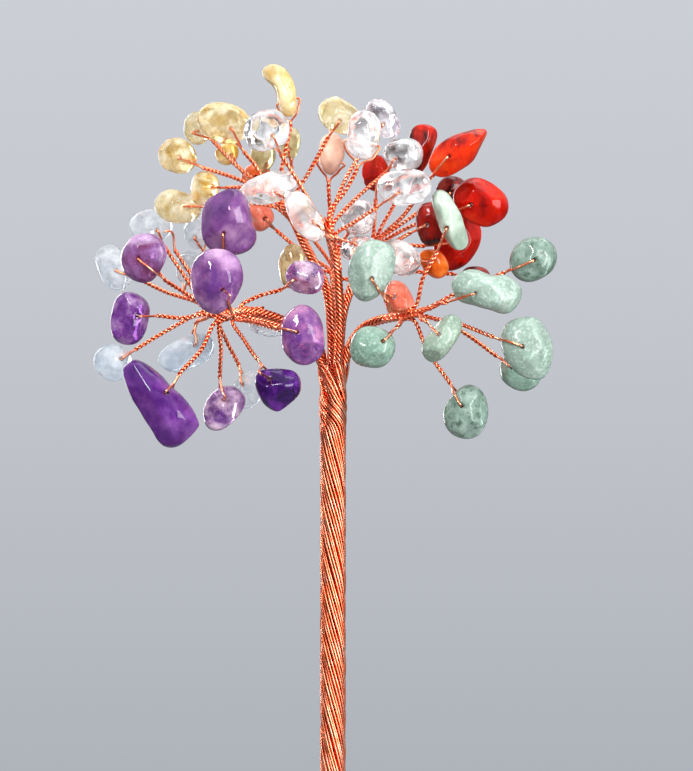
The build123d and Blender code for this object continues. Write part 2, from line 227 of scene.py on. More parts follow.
aquamarine = Branch("aquamarine", 195, 0.92, 0.5, [
    (-0.15, 0.12, 0.3), (-0.43, 0.4, 0.45), (-0.98, 0.75, 0.61), (-1.41, 0.95, 0.74),
], [
    Chip(-0.79, -0.15, 0.35, 0.48, 0.33, 0.35, 115, "block", "pale water", -15),
    Chip(-0.41, 0.05, 0.77, 0.42, 0.32, 0.35, 10, "oval", "pale water", 10),
    Chip(-0.04, 0.6, 0.35, 0.34, 0.26, 0.3, 80, "pebble", "pale water", 25),
    Chip(-0.79, -0.15, -0.6, 0.42, 0.36, 0.35, -30, "pebble", "blue water", 12, swing=15),
    Chip(0.05, 0.25, 0.71, 0.38, 0.28, 0.32, 90, "egg", "pale water", -18),
    Chip(-0.05, 0.35, -0.51, 0.62, 0.32, 0.34, 22, "oval", "blue water", 20),
    Chip(0.55, 0.15, -0.89, 0.42, 0.32, 0.32, 60, "egg", "pale water", -10),
    Chip(0.75, 0.05, -0.22, 0.36, 0.24, 0.28, -15, "slab", "pale water", 0),
])
citrine = Branch("citrine", None, 0, 0.7, [
    (-0.06, 0.03, 0.85), (-0.21, 0.1, 1.17), (-0.31, 0.15, 1.37), (-0.41, 0.18, 1.58),
    (-0.75, 0.25, 2.0),
], [
    Chip(-0.6, 0.35, 0.48, 0.34, 0.3, 0.3, 60, "pebble", "clear honey", -20),
    Chip(-0.35, -0.15, 0.54, 0.54, 0.43, 0.38, -15, "egg", "honey", 10, 0.3, swing=12),
    Chip(-0.54, -0.3, -0.12, 0.34, 0.28, 0.32, 75, "block", "amber edged", 15),
    Chip(-0.31, 0.5, 0.23, 0.26, 0.22, 0.28, 40, "pebble", "deep honey", 10),
    Chip(-0.8, -0.35, 0.2, 0.4, 0.35, 0.34, -20, "pebble", "honey", -10, 0.25, swing=15),
    Chip(0.23, -0.15, 0.87, 0.54, 0.28, 0.3, 105, "bean", "milky honey", 0, 0.45, True, 10),
    Chip(0.05, 0.4, 0.18, 0.32, 0.25, 0.28, 90, "egg", "olive honey", 20),
    Chip(-0.8, 0.08, -0.31, 0.45, 0.32, 0.33, -8, "oval", "honey", -12),
    Chip(0.33, 0.25, 0.33, 0.32, 0.18, 0.26, 80, "slab", "olive honey", -10),
    Chip(0.82, -0.05, 0.6, 0.46, 0.33, 0.34, -20, "oval", "clear honey", 10),
])
quartz = Branch("quartz", 315, 0.96, 0.6, [
    (0.07, -0.17, 0.57), (0.05, -0.25, 0.95), (0.02, -0.32, 1.18), (-0.11, -0.45, 1.68),
], [
    Chip(-0.56, -0.05, 0.78, 0.46, 0.4, 0.34, 20, "block", "rock crystal", 10),
    Chip(0.41, 0.15, 0.73, 0.48, 0.34, 0.4, 80, "block", "frosted crystal", 0, 0.3, True, 10),
    Chip(-0.52, 0.18, 0.2, 0.56, 0.3, 0.3, 16, "oval", "rock crystal", -10),
    Chip(0.61, 0.58, 0.89, 0.44, 0.26, 0.32, 120, "slab", "lilac crystal", 15),
    Chip(0.8, 0.35, 0.54, 0.42, 0.33, 0.34, -10, "egg", "rock crystal", -8, 0.4, swing=12),
    Chip(-0.17, -0.5, -0.09, 0.54, 0.28, 0.32, -60, "slab", "rose crystal", 0),
    Chip(0.82, -0.2, 0.2, 0.52, 0.36, 0.34, 3, "oval", "rock crystal", 8),
    Chip(0.37, -0.15, -0.4, 0.36, 0.24, 0.32, 8, "oval", "rock crystal", 12),
    Chip(0.36, 0.5, -0.1, 0.38, 0.34, 0.34, 80, "pebble", "frosted crystal", -10),
    Chip(0.77, 0.2, -0.49, 0.46, 0.34, 0.32, -30, "pebble", "rose crystal", 0),
])
jasper = Branch("jasper", 75, 1.04, 0.6, [
    (0.1, 0.15, 0.63), (0.19, 0.25, 0.9), (0.3, 0.38, 1.11), (0.49, 0.5, 1.51),
], [
    Chip(0.38, -0.2, 0.76, 0.5, 0.28, 0.34, 75, "wedge", "red and black", 10),
    Chip(0.7, 0.25, 0.35, 0.34, 0.28, 0.32, -20, "pebble", "maroon mottled", 12),
    Chip(-0.05, -0.2, 0.51, 0.38, 0.28, 0.33, 100, "pebble", "red", 0),
    Chip(0.75, -0.6, 0.74, 0.68, 0.38, 0.38, 33, "leaf", "red streaked", -8, 0.25, swing=12),
    Chip(0.98, -0.3, 0.23, 0.54, 0.45, 0.4, -20, "oval", "red", -5),
    Chip(0.74, 0.15, -0.18, 0.62, 0.48, 0.4, 65, "egg", "red", 10),
    Chip(0.5, -0.55, 0.02, 0.44, 0.3, 0.36, 95, "block", "red and black", 0),
    Chip(0.51, -0.38, -0.38, 0.34, 0.26, 0.3, -45, "egg", "glowing orange", 0),
    Chip(0.93, -0.05, -0.53, 0.32, 0.24, 0.28, -10, "pebble", "maroon mottled", 8),
])
aventurine = Branch("aventurine", 15, 0.98, 0.5, [
    (0.17, -0.08, 0.3), (0.33, -0.2, 0.5), (0.66, -0.4, 0.6), (1.07, -0.55, 0.68),
], [
    Chip(0.46, -0.4, 0.17, 0.68, 0.4, 0.4, -10, "saddle", "mint", 0),
    Chip(0.93, 0.15, 0.49, 0.52, 0.44, 0.4, 40, "pebble", "speckled green", 12, 0.15, swing=15),
    Chip(0.89, -0.4, -0.43, 0.64, 0.5, 0.42, 110, "egg", "mint", 10),
    Chip(0.81, 0.25, -0.63, 0.44, 0.38, 0.35, -20, "pebble", "fresh green", -12),
    Chip(0.02, -0.5, -0.31, 0.5, 0.26, 0.34, 50, "slab", "sage", 0),
    Chip(0.1, 0.1, 0.88, 0.64, 0.24, 0.34, 114, "slab", "pale sage", 0),
    Chip(0.27, -0.2, -1.02, 0.54, 0.44, 0.4, 255, "egg", "speckled green", -10, 0.2, swing=20),
    Chip(-0.69, -0.8, 0.37, 0.62, 0.44, 0.4, 70, "egg", "mint", -10),
    Chip(-0.67, -0.3, -0.39, 0.47, 0.41, 0.4, -5, "pebble", "fresh green", 10, swing=15),
])
peach = Branch("peach", 135, 0.94, 0.5, [
    (0.01, 0.25, 0.5), (0.02, 0.45, 0.85), (0.04, 0.7, 1.13),
], [
    Chip(-0.82, 0.35, 0.89, 0.3, 0.22, 0.28, 20, "pebble", "bright orange", -10),
    Chip(-0.06, -0.2, 1.09, 0.42, 0.26, 0.32, 85, "egg", "peach", 0, 0.35, True, 10),
    Chip(-0.79, 0.15, 0.48, 0.34, 0.28, 0.33, -45, "block", "salmon", 10),
    Chip(-0.45, -0.3, -0.02, 0.44, 0.26, 0.32, 85, "oval", "cream spotted", 12),
    Chip(0.62, -0.18, -0.36, 0.43, 0.3, 0.34, -70, "egg", "salmon", 0),
])
branches = [amethyst, aquamarine, citrine, quartz, jasper, aventurine, peach]


# Points and lines
def point(*values):
    return np.array(values, float)


def unit(way):
    return way / norm(way)


def place(hub_shares, chip_shares=(0, 0, 0)):
    """A place from its shares, which were read straight from the front, as the eye sees it."""
    right, back, up = [
        hub * branch_reach + chip * stem_reach for hub, chip in zip(hub_shares, chip_shares)
    ]
    spread = 1 + back / view_distance
    return point(right * spread, back, split_height + up * spread)


def turned(way, axis, angle):
    """way turned about axis by an angle in radians."""
    along = axis * axis.dot(way)
    return along + (way - along) * cos(angle) + np.cross(axis, way) * sin(angle)


def travel_along(line):
    return np.concatenate([[0], np.cumsum(norm(np.diff(line, axis=0), axis=1))])


def even_line(line, step):
    travel = travel_along(line)
    count = max(2, round(travel[-1] / step) + 1)
    painted_light_marks = np.linspace(0, travel[-1], count)
    return np.stack([np.interp(painted_light_marks, travel, line[:, i]) for i in range(3)], axis=1)


def smooth_line(points, step):
    """An even line of points on a curve through the given points."""
    points = np.array(points)
    first = 2 * points[0] - points[1]
    last = 2 * points[-1] - points[-2]
    knots = np.vstack([first, points, last])
    spans = np.maximum(norm(np.diff(knots, axis=0), axis=1), 1e-6) ** 0.5
    line = []
    for i in range(1, len(knots) - 2):
        a, b, c = spans[i - 1:i + 2]
        before, start, end, after = knots[i - 1:i + 3]
        chord = end - start
        leave = chord + b * ((start - before) / a - (end - before) / (a + b))
        arrive = chord + b * ((after - end) / c - (after - start) / (b + c))
        count = max(2, ceil(norm(chord) / step * 3))
        t = np.linspace(0, 1, count, endpoint=False)[:, None]
        line.append((2 * t**3 - 3 * t**2 + 1) * start + (t**3 - 2 * t**2 + t) * leave
                    + (3 * t**2 - 2 * t**3) * end + (t**3 - t**2) * arrive)
    return even_line(np.vstack(line + [points[-1:]]), step)


def carried_frames(line, side):
    """Two side directions carried along a line without twist, starting from side."""
    ways = np.gradient(line, axis=0)
    ways /= norm(ways, axis=1)[:, None]
    sides = []
    for way in ways:
        side = unit(side - way * way.dot(side))
        sides.append(side)
    sides = np.array(sides)
    return sides, np.cross(ways, sides)


def steps_round(sides, ups, radii, turns):
    """Steps off a line's points, each turned round the line by its own angle."""
    return sides * (radii * np.cos(turns))[:, None] + ups * (radii * np.sin(turns))[:, None]


# Trunk, ropes and roots
def lay_turning(height):
    """How far the trunk has turned at a height, in radians. It is laid left-handed.

    The last few millimetres under the split are wrapped round tighter than the rest.
    """
    knots = [lay_bottom, lay_top - wrap_height, lay_top]
    slack = np.interp(height, knots, [0, wrap_turn, 0])
    return slack - 2 * pi * (height - lay_bottom) / lay_pitch


def trunk_swell(height):
    """How much thicker the trunk is at a height. The tight wraps under the split bulge."""
    bulge = lay_top - swell_drop
    return 1 + np.interp(height, [bulge - wrap_height, bulge], [0, wrap_swell])


def hinge(branch):
    """The knee that the strand turns at, the middle of the bend and its direction."""
    if branch.strand_angle is None:
        knee = point(0, 0, split_height)
    else:
        angle = radians(branch.strand_angle)
        slope = unit(point(lay_slope * sin(angle), -lay_slope * cos(angle), 1))
        start = point(lay_radius * cos(angle), lay_radius * sin(angle), lay_top)
        knee = start + slope * strand_lead
    run = place(branch.route_shares[0]) - knee
    return knee, knee + run * branch.hinge_share, unit(run)


def rope_line(branch):
    """The middle of the rope, from the knee to the hub."""
    knee, _, _ = hinge(branch)
    return smooth_line([knee] + [place(shares) for shares in branch.route_shares], laid_step)


def hub_way(branch):
    """The hub at the rope's end, and the rope's way there."""
    before, hub = [place(shares) for shares in branch.route_shares[-2:]]
    return hub, unit(hub - before)


def root_line(angle, reach, lift, sway):
    """A root wire on the slab, from its tip to the foot of the trunk."""
    floor = slab_height + laid_radius + lift
    shares = [(1.0, 0, 0), (0.72, sway, 0), (0.45, -sway, 0.1), (0.24, 0, 0.9)]
    return [point(cos(angle + turn) * reach * out, sin(angle + turn) * reach * out, floor + rise)
            for out, turn, rise in shares]


def rope_thinness(travel):
    """The share of its full width that a rope has along its way. It thins out at its hub."""
    return np.clip((travel[-1] - travel) / rope_thinning, rope_thinnest, 1) ** 0.5


def bundle_round(line, rope):
    """The middle of the bundle beside each point of a wire, and how far the bundle reaches."""
    first = round(rope_start / laid_step)
    gaps = norm(line[:, None] - rope[None, first:], axis=2)
    nearest = gaps.argmin(axis=1) + first
    middles = rope[nearest]
    reaches = rope_ring * rope_thinness(travel_along(rope))[nearest] + laid_radius
    trunk = line[:, 2] < lay_top
    middles[trunk] = line[trunk] * (0, 0, 1)
    reaches[trunk] = trunk_rings[0][0] * trunk_swell(line[trunk, 2]) + laid_radius
    loose = line[:, 2] < lay_bottom
    middles[loose] = line[loose]
    reaches[loose] = laid_radius
    return middles, reaches


def trunk_seats(core):
    """Where a strand's wires sit round the trunk: their radius, and their angle in the strand."""
    if core:
        return [(core_radius, 2 * pi * i / core_wires) for i in range(core_wires)]
    width = radians(60) * trunk_group_share
    return [(radius, width * ((i + 0.5) / count - 0.5))
            for radius, count in trunk_rings for i in range(count)]


def laid_wires(branch, dice):
    """The wires of one colour, from their root tips up through the trunk to the hub."""
    core = branch.strand_angle is None
    base = 0 if core else radians(branch.strand_angle)
    seats = trunk_seats(core)
    middle = 0 if core else lay_radius
    turns = [atan2(r * sin(a), r * cos(a) - middle) for r, a in seats]
    order = np.argsort(turns[:rope_outer_wires])
    rank = {seat: i for i, seat in enumerate(order)}
    rope = rope_line(branch)
    sides, ups = carried_frames(rope, point(cos(base), sin(base), 0))
    travel = travel_along(rope)
    heights = np.arange(lay_bottom + 1, lay_top - 1, trunk_step)
    knots = [heights[0], *wander_knots, heights[-1]]
    wires = []
    for i, (radius, spread) in enumerate(seats):
        wander = dice.uniform(-wander_angle, wander_angle, 4)
        angles = base + spread + np.interp(heights, knots, wander) + lay_turning(heights)
        ripple = ripple_depth * np.sin(heights / 4 + i * 1.7 + base)
        radii = radius * trunk_swell(heights) + ripple
        trunk = np.stack([radii * np.cos(angles), radii * np.sin(angles), heights], axis=1)
        if core:
            across, back = cos(angles[0]), sin(angles[0])
            foot = [point(core_radius * across, core_radius * back, slab_height - core_depth)]
        else:
            way = base + radians(root_turn) + spread * root_fan
            way += dice.uniform(-wander_angle, wander_angle)
            reach = root_reach * branch.root_share * dice.uniform(0.70, 0.98)
            lift = dice.uniform(0, root_lift)
            foot = root_line(way, reach, lift, dice.uniform(-root_sway, root_sway))
        outer = i < rope_outer_wires
        phase = 2 * pi * rank[i] / rope_outer_wires + turns[order[0]] if outer else i * 2.1
        end = travel[-1] - foot_spacing * (1.2 + 0.6 * i)
        keep = (travel > rope_start) & (travel < end)
        sink = np.clip((end - travel) / rope_end_fade, 0.10, 1)
        ring = (rope_ring if outer else rope_core_radius) * rope_thinness(travel) * sink
        twist = phase - 2 * pi * travel / rope_pitch
        up = (rope + steps_round(sides, ups, ring, twist))[keep][::2]
        line = smooth_line(np.vstack([foot, trunk, up]), laid_step)
        wires.append((line, *bundle_round(line, rope)))
    return wires


# Chips
# How a chip lies: its middle and own directions, its half sizes, its hole, the hole's
# direction, the way to its stem and how far it reaches past the hole on that way
Seat = namedtuple("Seat", "origin length_way width_way face_way half_sizes hole along way edge")


def chip_middle(branch, chip):
    return place(branch.route_shares[-1], chip[:3])


def stem_feet(branch):
    """Where the stems leave the rope, one after another from its end."""
    hub, ahead = hub_way(branch)
    feet = []
    for rank, chip in enumerate(branch.chips):
        on_axis = hub - ahead * (foot_spacing * (rank + 0.5))
        aim = unit(chip_middle(branch, chip) - on_axis)
        outward = unit(aim - ahead * aim.dot(ahead))
        lean = max(abs(aim.dot(ahead)), foot_share)
        clear = rope_diameter / 2 + seat_gap + stem_diameter / 2 * lean
        feet.append((on_axis, on_axis + outward * clear, outward))
    return feet


def chip_seat(branch, chip, foot):
    origin = chip_middle(branch, chip)
    lean = radians(chip.lean)
    face = point(sin(lean), -cos(lean), 0)
    side = point(cos(lean), sin(lean), 0)
    turn = radians(chip.turn)
    length_way = side * cos(turn) + point(0, 0, sin(turn))
    width_way = np.cross(face, length_way)
    halves = [s * largest_chip / 2 for s in (chip.long_share, chip.wide_share, chip.thick_share)]
    along = width_way if chip.across else face
    way = foot - origin
    way = unit(way - along * way.dot(along))
    if chip.across:
        wide = level_shares[1][1]
        corners = [(x * halves[0], 0, z * halves[2] * wide) for x in (-1, 1) for z in (-1, 1)]
    else:
        corners = [(x * halves[0], y * halves[1], 0) for x, y in outline_shares[chip.outline]]
    corners = [origin + length_way * x + width_way * y + face * z for x, y, z in corners]
    reach = max((corner - origin).dot(way) for corner in corners)
    hole = origin + way * (reach * chip.hole_share)
    edge = max((corner - hole).dot(way) for corner in corners)
    return Seat(origin, length_way, width_way, face, halves, hole, along, way, edge)


# Meshes
def shown(name, mesh):
    obj = bpy.data.objects.new(name, mesh)
    scene.collection.objects.link(obj)
    return obj


def finished_mesh(obj):
    """The object's mesh with its modifiers applied. The object itself is removed."""
    graph = bpy.context.evaluated_depsgraph_get()
    mesh = bpy.data.meshes.new_from_object(obj.evaluated_get(graph), depsgraph=graph)
    bpy.data.objects.remove(obj)
    return mesh


def grained_mesh(obj, grain):
    """The object's mesh with its modifiers applied, made anew from small even faces."""
    remesh = obj.modifiers.new("grain", "REMESH")
    remesh.mode = "VOXEL"
    remesh.voxel_size = grain * MM
    return finished_mesh(obj)


def made_mesh(name, shape):
    mesh = bpy.data.meshes.new(name)
    shape.to_mesh(mesh)
    shape.free()
    return mesh


def loft(name, rings):
    """A closed object through rings of equal count."""
    count = len(rings[0])
    faces = [tuple(reversed(range(count)))]
    for level in range(len(rings) - 1):
        low = level * count
        for i in range(count):
            j = (i + 1) % count
            faces.append((low + i, low + j, low + count + j, low + count + i))
    faces.append(tuple(range(len(rings) * count - count, len(rings) * count)))
    mesh = bpy.data.meshes.new(name)
    mesh.from_pydata([tuple(p * MM) for ring in rings for p in ring], [], faces)
    tidy = bmesh.new()
    tidy.from_mesh(mesh)
    bmesh.ops.recalc_face_normals(tidy, faces=tidy.faces)
    tidy.to_mesh(mesh)
    tidy.free()
    return shown(name, mesh)


def mesh_points(mesh, field):
    values = np.zeros(len(mesh.vertices) * 3)
    mesh.vertices.foreach_get(field, values)
    return values.reshape(-1, 3)


# Tumbled stones
def worn_round(ring):
    """The ring with its corners cut off twice."""
    for _ in range(2):
        ahead = np.roll(ring, -1, axis=0)
        ring = np.stack([ring * 0.75 + ahead * 0.25, ring * 0.25 + ahead * 0.75], axis=1)
        ring = ring.reshape(-1, 3)
    return ring


def broken_chip(chip, seat, dice):
    """A chip as it broke to its outline, with rounded corners."""
    corners = np.array([(x, y, 0) for x, y in outline_shares[chip.outline]])
    heights = [height for height, _ in level_shares]
    jogs = dice.uniform(0.93, 1.02, (len(heights), len(corners), 1))
    shifts = dice.uniform(-0.05, 0.05, (len(heights), 1, 3))
    tilt = dice.uniform(-0.10, 0.10, 3)
    axes = np.stack([seat.length_way, seat.width_way, seat.face_way])
    rings = []
    for height, width, _ in smooth_line([(h, w, 0) for h, w in level_shares], stone_step):
        level = np.interp(height, heights, range(len(heights)))
        low = min(int(level), len(heights) - 2)
        share = level - low
        jog, shift = [k[low] * (1 - share) + k[low + 1] * share for k in (jogs, shifts)]
        ring = corners * width * jog + shift
        ring[:, 2] = height * (0.95 + ring @ tilt)
        rings.append(seat.origin + (worn_round(ring) * seat.half_sizes) @ axes)
    return loft("blank", rings)


def drill_bit(seat):
    """A rod that stands in the chip's hole."""
    rod = bmesh.new()
    bmesh.ops.create_cone(rod, cap_ends=True, segments=20, radius1=bore_radius * MM,
                          radius2=bore_radius * MM, depth=largest_chip * MM)
    mesh = made_mesh("drill", rod)
    mesh.transform(Vector(seat.along).to_track_quat("Z", "Y").to_matrix().to_4x4())
    mesh.transform(Matrix.Translation(Vector(seat.hole) * MM))
    return shown("bit", mesh)


def worn_flat(places, seat, dice):
    """The stone's points after a few flats are ground on its front and its back."""
    middle = seat.origin * MM
    for flat in range(worn_flats):
        angle = dice.uniform(0, 2 * pi)
        side = 1 if flat % 2 else -1
        slopes = point(cos(angle), sin(angle), side * dice.uniform(0.5, 1.3))
        slopes /= seat.half_sizes
        way = unit(seat.length_way * slopes[0] + seat.width_way * slopes[1]
                   + seat.face_way * slopes[2])
        heights = (places - middle) @ way
        over = np.maximum(heights - heights.max() * dice.uniform(0.78, 0.92), 0)
        places = places - np.outer(over * ground_share, way)
    return places


def bored_open(places, seat):
    """The stone's points, with the wall of the hole moved out where tumbling narrowed it."""
    offsets = places - seat.hole * MM
    rises = np.outer(offsets @ seat.along, seat.along)
    outs = offsets - rises
    reaches = norm(outs, axis=1)[:, None]
    needed = bore_radius * open_share * MM
    return places + outs * (np.maximum(needed / reaches, 1) - 1)


def tumbled_stone(chip, seat, dice):
    """A drilled chip, tumbled until its edges are round: its points and its faces."""
    blank = broken_chip(chip, seat, dice)
    bit = drill_bit(seat)
    cut = blank.modifiers.new("drilled", "BOOLEAN")
    cut.operation = "DIFFERENCE"
    cut.solver = "EXACT"
    cut.object = bit
    mesh = grained_mesh(blank, stone_grain)
    bpy.data.objects.remove(bit)
    places = mesh_points(mesh, "co")
    normals = mesh_points(mesh, "normal")
    seed = Vector(dice.uniform(-50, 50, 3))
    dents = [noise.noise(Vector(p) * dent_scale + seed) for p in places]
    places += normals * (np.array(dents)[:, None] * dent_depth + dent_fill) * MM
    places = worn_flat(places, seat, dice)
    mesh.vertices.foreach_set("co", places.ravel())
    worn = shown("worn", mesh)
    tumble = worn.modifiers.new("tumbled", "SMOOTH")
    tumble.factor = 0.5
    tumble.iterations = crisp_rounds if chip.look in crisp_looks else tumbling_rounds
    mesh = finished_mesh(worn)
    places = bored_open(mesh_points(mesh, "co"), seat)
    faces = np.zeros(len(mesh.polygons) * 4, int)
    mesh.polygons.foreach_get("vertices", faces)
    bpy.data.meshes.remove(mesh)
    return places, faces.reshape(-1, 4)


# Loops and stems
def surface_height(tree, seat, out, side, turn):
    """How high the stone's skin stands over the hole's middle plane, out towards the stem."""
    way = turned(seat.way, seat.along, turn)
    start = seat.hole + way * out + seat.along * side * largest_chip
    hit, _, _, distance = tree.ray_cast(Vector(start * MM), Vector(-seat.along * side))
    return 0 if hit is None else max(0, largest_chip - distance / MM)


def swing_turns(chip):
    """Turns at which a chip is measured, from one end of its swing to the other."""
    return [radians(chip.swing) * share for share in swing_shares] if chip.swing else [0]


def eased_off(loop, chip, seat, tree):
    """The loop bent off the stone where it would touch it, wherever the stone swings to."""
    needed = wire_radius + wire_ease
    ends = np.arange(len(loop))
    fade = np.clip(np.minimum(ends, ends[::-1]) / ease_fade, 0, 1)
    width = 2 * ease_window + 1
    for _ in range(ease_rounds):
        offsets = loop - seat.hole
        rises = offsets @ seat.along
        outs = norm(offsets - np.outer(rises, seat.along), axis=1)
        short = np.zeros(len(loop))
        for i in np.flatnonzero(outs > mouth_reach):
            for turn in swing_turns(chip):
                at = Vector((seat.hole + turned(offsets[i], seat.along, turn)) * MM)
                nearest, normal, _, distance = tree.find_nearest(at)
                gap = copysign(distance / MM, (at - nearest).dot(normal))
                short[i] = max(short[i], needed - gap)
        spread = np.array([short[max(0, i - ease_window):i + ease_window + 1].max() for i in ends])
        padded = np.pad(spread, ease_window, mode="edge")
        spread = np.convolve(padded, np.ones(width) / width, "valid")
        loop = loop + np.outer(spread * fade * np.sign(rises), seat.along)
    return loop


def loop_points(chip, seat, tree):
    """The single wire from the twist's end, over the stone, through its hole and back."""
    turns = swing_turns(chip)

    def rise_over(out, side):
        """The stone's greatest height at that reach, wherever it swings to."""
        return max(surface_height(tree, seat, out, side, turn) for turn in turns)

    past, least, step = edge_search
    edge = seat.edge + past
    while edge > least and rise_over(edge, 1) == 0 == rise_over(edge, -1):
        edge -= step
    lift = wire_radius + wire_clearance
    sides = []
    for side in (1, -1):
        outs = [max(edge * share, mouth_edge) for share in profile_shares]
        rises = [rise_over(out, side) for out in outs]
        mouth = max(rise_over(out, side) for out in (mouth_edge, -mouth_edge))
        run = [
            (seat.edge + loop_reach, wire_radius),
            (edge + shoulder_size, max(shoulder_size, rises[0] * shoulder_share)),
            *[(out, rise + lift) for out, rise in zip(outs, rises)],
            (over_mouth[0], mouth + lift + over_mouth[1]),
            (inside_mouth[0], mouth + inside_mouth[1]),
            (0, mouth * deep_share),
        ]
        sides.append([(out, rise * side) for out, rise in run])
    profile = sides[0] + sides[1][::-1]
    return [seat.hole + seat.way * out + seat.along * rise for out, rise in profile]


def twist_steps(line, side, pitch):
    """Steps off a line to one of two wires that are twisted round it."""
    sides, ups = carried_frames(line, side)
    turns = 2 * pi * travel_along(line) / pitch
    return steps_round(sides, ups, wire_radius, turns)


def held_wire(chip, seat, tree, foot, ahead, dice):
    """One wire, doubled: up a stem, through the stone and back down beside itself."""
    on_axis, at, outward = foot
    end = seat.hole + seat.way * (seat.edge + loop_reach)
    lead = norm(end - at)
    sway = unit(np.cross(end - at, seat.along)) * lead * dice.uniform(-stem_sway, stem_sway)
    bow = seat.along * lead * dice.uniform(-stem_bow, stem_bow)
    middle = at + (end - at) * 0.5 + seat.way * lead * stem_sag + sway + bow
    start = [on_axis - ahead * back + outward * out for back, out in stem_starts]
    stem = smooth_line([*start, at, middle, end + seat.way * stem_straight, end], wire_step)[::-1]
    steps = twist_steps(stem, seat.along, twist_pitch * dice.uniform(0.92, 1.10))
    loop = eased_off(smooth_line(loop_points(chip, seat, tree), wire_step), chip, seat, tree)
    up = (stem + steps)[::-1]
    down = stem - steps
    line = np.vstack([up[:-1], loop, down[1:]])
    middles = np.vstack([stem[::-1][:-1], loop, stem[1:]])
    reaches = np.full(len(line), wire_diameter)
    reaches[len(up) - 1:len(line) - len(down) + 1] = wire_radius
    return line, middles, reaches


def bare_hook(branch):
    """A stem with no chip: a twist of two wires, one cut short and one bent over."""
    hub, ahead = hub_way(branch)
    foot = hub - ahead * hook_lead
    bend = [place(branch.route_shares[-1], shares) for shares in hook_shares]
    middle = (foot + bend[0]) / 2 + point(hook_bow, 0, 0)
    twist = smooth_line([foot - ahead * hook_lead, foot, middle, bend[0]], wire_step)
    steps = twist_steps(twist, point(0, 1, 0), twist_pitch)
    long = twist + steps
    tip = smooth_line([long[-1]] + bend[1:], wire_step)[1:]
    reaches = np.full(len(twist), wire_diameter)
    tip_reaches = np.full(len(tip), wire_radius)
    return [
        (np.vstack([long, tip]), np.vstack([twist, tip]), np.concatenate([reaches, tip_reaches])),
        (twist - steps, twist, reaches),
    ]


# Nodes
def fill(tree, node, inputs):
    """Gives a node's inputs their values, or links: to an output, or to a node's first one."""
    for key, given in inputs.items():
        if isinstance(given, bpy.types.Node):
            given = given.outputs[0]
        if isinstance(given, bpy.types.NodeSocket):
            tree.links.new(given, node.inputs[key])
        else:
            node.inputs[key].default_value = given


def new_node(tree, kind, inputs=None, **settings):
    node = tree.nodes.new(kind)
    for name, value in settings.items():
        setattr(node, name, value)
    fill(tree, node, inputs or {})
    return node


# Wire drawing: a round wire along each line, with the unevenness of hand work
def wire_drawing_tree():
    tree = bpy.data.node_groups.new("wire drawing", "GeometryNodeTree")
    for name, kind, value in [
        ("Lines", "Geometry", None),
        ("Wire radius", "Float", wire_radius * MM),
        ("Sides", "Int", wire_sides),
        ("Unevenness", "Float", 0.1 * MM),
        ("Unevenness per metre", "Float", 150.0),
        ("Seed", "Float", 3.0),
        ("Metal", "Material", None),
    ]:
        socket = tree.interface.new_socket(name, in_out="INPUT", socket_type="NodeSocket" + kind)
        if value is not None:
            socket.default_value = value
    tree.interface.new_socket("Wires", in_out="OUTPUT", socket_type="NodeSocketGeometry")
    given = new_node(tree, "NodeGroupInput").outputs
    cloud = new_node(tree, "ShaderNodeTexNoise", {
        "Vector": new_node(tree, "GeometryNodeInputPosition"),
        "W": given["Seed"],
        "Scale": given["Unevenness per metre"],
        "Detail": 0.0,
    }, noise_dimensions="4D")
    centred = new_node(tree, "ShaderNodeVectorMath",
                       {0: cloud.outputs["Color"], 1: (0.5, 0.5, 0.5)}, operation="SUBTRACT")
    sized = new_node(tree, "ShaderNodeVectorMath",
                     {0: centred, "Scale": given["Unevenness"]}, operation="SCALE")
    moved = new_node(tree, "GeometryNodeSetPosition",
                     {"Geometry": given["Lines"], "Offset": sized})
    ring = new_node(tree, "GeometryNodeCurvePrimitiveCircle",
                    {"Resolution": given["Sides"], "Radius": given["Wire radius"]})
    swept = new_node(tree, "GeometryNodeCurveToMesh",
                     {"Curve": moved, "Profile Curve": ring, "Fill Caps": True})
    soft = new_node(tree, "GeometryNodeSetShadeSmooth", {0: swept})
    real = new_node(tree, "GeometryNodeRealizeInstances", {0: soft})
    coated = new_node(tree, "GeometryNodeSetMaterial",
                      {"Geometry": real, "Material": given["Metal"]})
    new_node(tree, "NodeGroupOutput", {0: coated})
    return tree


def mark_painted_shade(mesh, middles, reaches, diameter):
    """Marks the skin deep between the wires, where painted shade darkens the copper."""
    places = mesh_points(mesh, "co") / MM
    middles = np.repeat(np.vstack(middles), wire_sides, axis=0)
    reaches = np.repeat(np.concatenate(reaches), wire_sides)
    # 1 where the skin is fully lit, 0 where the painted shade between the wires is deepest
    depths = reaches - norm(places - middles, axis=1)
    painted_light_marks = np.clip(1 - depths / (painted_shade_share * diameter), 0, 1)
    mesh.attributes.new("painted_light_level", "FLOAT", "POINT").data.foreach_set("value", painted_light_marks)


def drawn_wires(name, wires, diameter, unevenness, seed):
    """Round copper wires along the lines, each given with the middles and reaches that set its
    painted shade.
    """
    lines, middles, reaches = zip(*wires)
    curve = bpy.data.curves.new(name, "CURVE")
    curve.dimensions = "3D"
    for line in lines:
        spline = curve.splines.new("POLY")
        spline.points.add(len(line) - 1)
        rows = np.concatenate([line * MM, np.ones((len(line), 1))], axis=1)
        spline.points.foreach_set("co", rows.ravel())
    obj = shown(name, curve)
    modifier = obj.modifiers.new("wire drawing", "NODES")
    modifier.node_group = wire_tree
    values = {"Wire radius": diameter / 2 * MM, "Unevenness": unevenness * MM,
              "Seed": float(seed), "Metal": copper}
    for item in wire_tree.interface.items_tree:
        if item.name in values:
            modifier[item.identifier] = values[item.name]
    mesh = finished_mesh(obj)
    mark_painted_shade(mesh, middles, reaches, diameter)
    mesh.name = name
    return shown(name, mesh)


# Materials
def paint(code):
    """A colour for a shader from its web code."""
    shares = [int(code[i:i + 2], 16) / 255 for i in (1, 3, 5)]
    linear = [s / 12.92 if s <= 0.04045 else ((s + 0.055) / 1.055) ** 2.4 for s in shares]
    return (*linear, 1.0)


